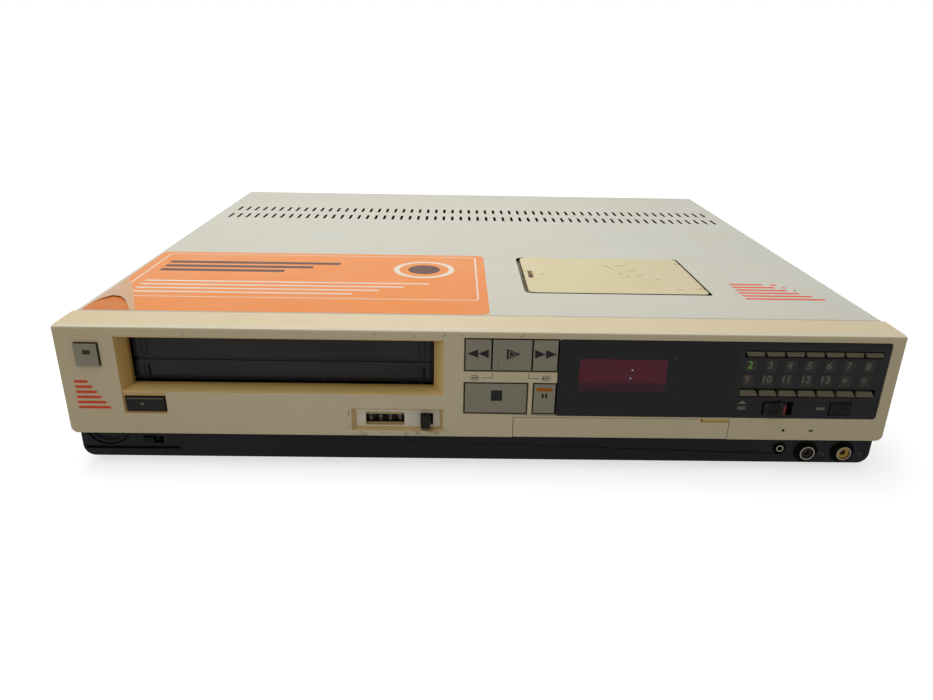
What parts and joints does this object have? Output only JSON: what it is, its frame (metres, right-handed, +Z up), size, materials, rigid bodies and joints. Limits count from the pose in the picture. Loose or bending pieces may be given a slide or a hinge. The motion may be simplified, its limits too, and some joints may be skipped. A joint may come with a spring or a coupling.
{
  "type": "video cassette recorder",
  "caption": "Full-width front-loading video cassette recorder with a hinged cassette door, piano-style keys, tape counter, station presets, clock lens, timer flap and a hatch on top.",
  "frame": {"origin": "on the floor, under the middle of the box round the whole object", "axes": "+X to the right seen from the front, +Y from the front to the rear, +Z up"},
  "size_m": [0.43, 0.3768, 0.082],
  "materials": {
    "base_plastic": "fine grained black moulding",
    "cover_paint": "pale grey-green baked paint on sheet steel",
    "fascia_plastic": "cream moulding gone beige with age, satin",
    "rear_plastic": "black painted steel",
    "hatch_plastic": "cream moulding, slightly yellowed",
    "inner_plastic": "black moulding inside the case",
    "lens_plastic": "smoked acrylic with a dark red display window",
    "display_glass": "display tube behind a red filter",
    "key_plastic": "warm grey moulding with dark symbols",
    "black_plastic": "black moulding",
    "door_plastic": "black satin moulding",
    "plated_steel": "plated steel, a little tarnished",
    "deck_steel": "zinc plated sheet steel",
    "machined_aluminium": "turned aluminium",
    "ring_plastic": "white moulding",
    "iron_core": "varnished laminated core with a taped winding",
    "board_laminate": "phenolic board with components",
    "tin_can": "tinned sheet steel box",
    "foot_rubber": "black rubber",
    "preset_plastic": "olive grey moulding",
    "counter_plastic": "black number drum with white numbers"
  },
  "bodies": {
    "casing": {"base_pan": "base_plastic", "foot_front_left": "foot_rubber", "foot_front_right": "foot_rubber", "foot_rear_left": "foot_rubber", "foot_rear_right": "foot_rubber", "top_cover": "cover_paint", "front_fascia": "fascia_plastic", "rear_panel": "rear_plastic", "preset_tuner_unit": "inner_plastic", "display_lens": "lens_plastic", "clock_display": "display_glass", "counter_frame": "inner_plastic", "audio_jack": "plated_steel", "video_jack": "plated_steel", "remote_jack": "plated_steel", "deck_plate": "deck_steel", "lower_drum": "machined_aluminium", "rf_block": "tin_can", "mains_gland": "foot_rubber", "power_transformer": "iron_core", "main_board": "board_laminate"},
    "cassette_door": {"cassette_door": "door_plastic"},
    "hatch_lid": {"hatch_lid": "hatch_plastic"},
    "timer_door": {"timer_door": "fascia_plastic"},
    "power_button": {"power_button": "key_plastic"},
    "eject_button": {"eject_button": "black_plastic"},
    "counter_reset_button": {"counter_reset_button": "black_plastic"},
    "rewind_key": {"rewind_key": "key_plastic"},
    "play_key": {"play_key": "key_plastic"},
    "fast_forward_key": {"fast_forward_key": "key_plastic"},
    "stop_key": {"stop_key": "key_plastic"},
    "pause_key": {"pause_key": "key_plastic"},
    "record_switch": {"record_switch": "black_plastic"},
    "program_select_button": {"program_select_button": "black_plastic"},
    "tracking_knob": {"tracking_knob": "black_plastic"},
    "record_mode_switch": {"record_mode_switch": "black_plastic"},
    "cassette_carrier": {"cassette_carrier": "deck_steel"},
    "upper_drum": {"upper_drum": "machined_aluminium"},
    "supply_reel_table": {"supply_reel_table": "black_plastic"},
    "takeup_reel_table": {"takeup_reel_table": "black_plastic"},
    "loading_ring": {"loading_ring": "ring_plastic"},
    "capstan_flywheel": {"capstan_flywheel": "machined_aluminium"},
    "preset_button_01": {"preset_button_01": "preset_plastic"},
    "preset_button_02": {"preset_button_02": "preset_plastic"},
    "preset_button_03": {"preset_button_03": "preset_plastic"},
    "preset_button_04": {"preset_button_04": "preset_plastic"},
    "preset_button_05": {"preset_button_05": "preset_plastic"},
    "preset_button_06": {"preset_button_06": "preset_plastic"},
    "preset_button_07": {"preset_button_07": "preset_plastic"},
    "preset_button_08": {"preset_button_08": "preset_plastic"},
    "preset_button_09": {"preset_button_09": "preset_plastic"},
    "preset_button_10": {"preset_button_10": "preset_plastic"},
    "preset_button_11": {"preset_button_11": "preset_plastic"},
    "preset_button_12": {"preset_button_12": "preset_plastic"},
    "preset_button_13": {"preset_button_13": "preset_plastic"},
    "preset_button_14": {"preset_button_14": "preset_plastic"},
    "counter_drum_1": {"counter_drum_1": "counter_plastic"},
    "counter_drum_2": {"counter_drum_2": "counter_plastic"},
    "counter_drum_3": {"counter_drum_3": "counter_plastic"},
    "counter_drum_4": {"counter_drum_4": "counter_plastic"}
  },
  "joints": [
    {"name": "cassette_door_turn", "type": "hinge", "parent": "casing", "child": "cassette_door", "pos_m": [-0.10305, -0.17535, 0.0763], "axis": [1, 0, 0], "range_deg": [0, 80], "stiffness_Nm_per_rad": 0.004, "springref_deg": -22.92},
    {"name": "hatch_lid_turn", "type": "hinge", "parent": "casing", "child": "hatch_lid", "pos_m": [0.1323, -0.0881, 0.0808], "axis": [0, 1, 0], "range_deg": [0, 110]},
    {"name": "timer_door_turn", "type": "hinge", "parent": "casing", "child": "timer_door", "pos_m": [0.07415, -0.18485, 0.0216], "axis": [1, 0, 0], "range_deg": [0, 90]},
    {"name": "power_button_slide", "type": "slide", "parent": "casing", "child": "power_button", "axis": [0, 1, 0], "range_m": [0, 0.003], "stiffness_N_per_m": 300, "springref_m": -0.002},
    {"name": "eject_button_slide", "type": "slide", "parent": "casing", "child": "eject_button", "axis": [0, 1, 0], "range_m": [0, 0.003], "stiffness_N_per_m": 300, "springref_m": -0.002},
    {"name": "counter_reset_button_slide", "type": "slide", "parent": "casing", "child": "counter_reset_button", "axis": [0, 1, 0], "range_m": [0, 0.002], "stiffness_N_per_m": 300, "springref_m": -0.002},
    {"name": "rewind_key_slide", "type": "slide", "parent": "casing", "child": "rewind_key", "axis": [0, 1, 0], "range_m": [0, 0.0025], "stiffness_N_per_m": 200, "springref_m": -0.002},
    {"name": "play_key_slide", "type": "slide", "parent": "casing", "child": "play_key", "axis": [0, 1, 0], "range_m": [0, 0.0025], "stiffness_N_per_m": 200, "springref_m": -0.002},
    {"name": "fast_forward_key_slide", "type": "slide", "parent": "casing", "child": "fast_forward_key", "axis": [0, 1, 0], "range_m": [0, 0.0025], "stiffness_N_per_m": 200, "springref_m": -0.002},
    {"name": "stop_key_slide", "type": "slide", "parent": "casing", "child": "stop_key", "axis": [0, 1, 0], "range_m": [0, 0.0025], "stiffness_N_per_m": 200, "springref_m": -0.002},
    {"name": "pause_key_slide", "type": "slide", "parent": "casing", "child": "pause_key", "axis": [0, 1, 0], "range_m": [0, 0.0025], "stiffness_N_per_m": 200, "springref_m": -0.002},
    {"name": "record_switch_slide", "type": "slide", "parent": "casing", "child": "record_switch", "axis": [1, 0, 0], "range_m": [0, 0.0035]},
    {"name": "program_select_button_slide", "type": "slide", "parent": "casing", "child": "program_select_button", "axis": [0, 1, 0], "range_m": [0, 0.0015], "stiffness_N_per_m": 300, "springref_m": -0.002},
    {"name": "tracking_knob_turn", "type": "hinge", "parent": "casing", "child": "tracking_knob", "pos_m": [-0.1976, -0.18235, 0.024], "axis": [0, 1, 0], "range_deg": [-150, 150]},
    {"name": "record_mode_switch_slide", "type": "slide", "parent": "casing", "child": "record_mode_switch", "axis": [1, 0, 0], "range_m": [0, 0.0045]},
    {"name": "cassette_carrier_slide", "type": "slide", "parent": "casing", "child": "cassette_carrier", "axis": [0, 0, 1], "range_m": [-0.022, 0]},
    {"name": "upper_drum_turn", "type": "hinge", "parent": "casing", "child": "upper_drum", "pos_m": [-0.10305, 0.01945, 0.0367], "axis": [0, 0, 1], "continuous": true},
    {"name": "supply_reel_table_turn", "type": "hinge", "parent": "casing", "child": "supply_reel_table", "pos_m": [-0.14155, -0.09605, 0.0217], "axis": [0, 0, 1], "continuous": true},
    {"name": "takeup_reel_table_turn", "type": "hinge", "parent": "casing", "child": "takeup_reel_table", "pos_m": [-0.06455, -0.09605, 0.0217], "axis": [0, 0, 1], "continuous": true},
    {"name": "loading_ring_turn", "type": "hinge", "parent": "casing", "child": "loading_ring", "pos_m": [-0.10305, 0.01945, 0.0217], "axis": [0, 0, 1], "range_deg": [0, 270]},
    {"name": "capstan_flywheel_turn", "type": "hinge", "parent": "casing", "child": "capstan_flywheel", "pos_m": [-0.0217, -0.02255, 0.0217], "axis": [0, 0, 1], "continuous": true},
    {"name": "preset_button_01_slide", "type": "slide", "parent": "casing", "child": "preset_button_01", "axis": [0, 1, 0], "range_m": [0, 0.0012], "stiffness_N_per_m": 300, "springref_m": -0.002},
    {"name": "preset_button_02_slide", "type": "slide", "parent": "casing", "child": "preset_button_02", "axis": [0, 1, 0], "range_m": [0, 0.0012], "stiffness_N_per_m": 300, "springref_m": -0.002},
    {"name": "preset_button_03_slide", "type": "slide", "parent": "casing", "child": "preset_button_03", "axis": [0, 1, 0], "range_m": [0, 0.0012], "stiffness_N_per_m": 300, "springref_m": -0.002},
    {"name": "preset_button_04_slide", "type": "slide", "parent": "casing", "child": "preset_button_04", "axis": [0, 1, 0], "range_m": [0, 0.0012], "stiffness_N_per_m": 300, "springref_m": -0.002},
    {"name": "preset_button_05_slide", "type": "slide", "parent": "casing", "child": "preset_button_05", "axis": [0, 1, 0], "range_m": [0, 0.0012], "stiffness_N_per_m": 300, "springref_m": -0.002},
    {"name": "preset_button_06_slide", "type": "slide", "parent": "casing", "child": "preset_button_06", "axis": [0, 1, 0], "range_m": [0, 0.0012], "stiffness_N_per_m": 300, "springref_m": -0.002},
    {"name": "preset_button_07_slide", "type": "slide", "parent": "casing", "child": "preset_button_07", "axis": [0, 1, 0], "range_m": [0, 0.0012], "stiffness_N_per_m": 300, "springref_m": -0.002},
    {"name": "preset_button_08_slide", "type": "slide", "parent": "casing", "child": "preset_button_08", "axis": [0, 1, 0], "range_m": [0, 0.0012], "stiffness_N_per_m": 300, "springref_m": -0.002},
    {"name": "preset_button_09_slide", "type": "slide", "parent": "casing", "child": "preset_button_09", "axis": [0, 1, 0], "range_m": [0, 0.0012], "stiffness_N_per_m": 300, "springref_m": -0.002},
    {"name": "preset_button_10_slide", "type": "slide", "parent": "casing", "child": "preset_button_10", "axis": [0, 1, 0], "range_m": [0, 0.0012], "stiffness_N_per_m": 300, "springref_m": -0.002},
    {"name": "preset_button_11_slide", "type": "slide", "parent": "casing", "child": "preset_button_11", "axis": [0, 1, 0], "range_m": [0, 0.0012], "stiffness_N_per_m": 300, "springref_m": -0.002},
    {"name": "preset_button_12_slide", "type": "slide", "parent": "casing", "child": "preset_button_12", "axis": [0, 1, 0], "range_m": [0, 0.0012], "stiffness_N_per_m": 300, "springref_m": -0.002},
    {"name": "preset_button_13_slide", "type": "slide", "parent": "casing", "child": "preset_button_13", "axis": [0, 1, 0], "range_m": [0, 0.0012], "stiffness_N_per_m": 300, "springref_m": -0.002},
    {"name": "preset_button_14_slide", "type": "slide", "parent": "casing", "child": "preset_button_14", "axis": [0, 1, 0], "range_m": [0, 0.0012], "stiffness_N_per_m": 300, "springref_m": -0.002},
    {"name": "counter_drum_1_turn", "type": "hinge", "parent": "casing", "child": "counter_drum_1", "pos_m": [-0.0508, -0.17545, 0.0285], "axis": [1, 0, 0], "continuous": true},
    {"name": "counter_drum_2_turn", "type": "hinge", "parent": "casing", "child": "counter_drum_2", "pos_m": [-0.0508, -0.17545, 0.0285], "axis": [1, 0, 0], "continuous": true},
    {"name": "counter_drum_3_turn", "type": "hinge", "parent": "casing", "child": "counter_drum_3", "pos_m": [-0.0508, -0.17545, 0.0285], "axis": [1, 0, 0], "continuous": true},
    {"name": "counter_drum_4_turn", "type": "hinge", "parent": "casing", "child": "counter_drum_4", "pos_m": [-0.0508, -0.17545, 0.0285], "axis": [1, 0, 0], "continuous": true}
  ],
  "couplings": [
    {"joint": "counter_drum_3_turn", "follows": "counter_drum_4_turn", "ratio": 0.1},
    {"joint": "counter_drum_2_turn", "follows": "counter_drum_4_turn", "ratio": 0.01},
    {"joint": "counter_drum_1_turn", "follows": "counter_drum_4_turn", "ratio": 0.001}
  ]
}
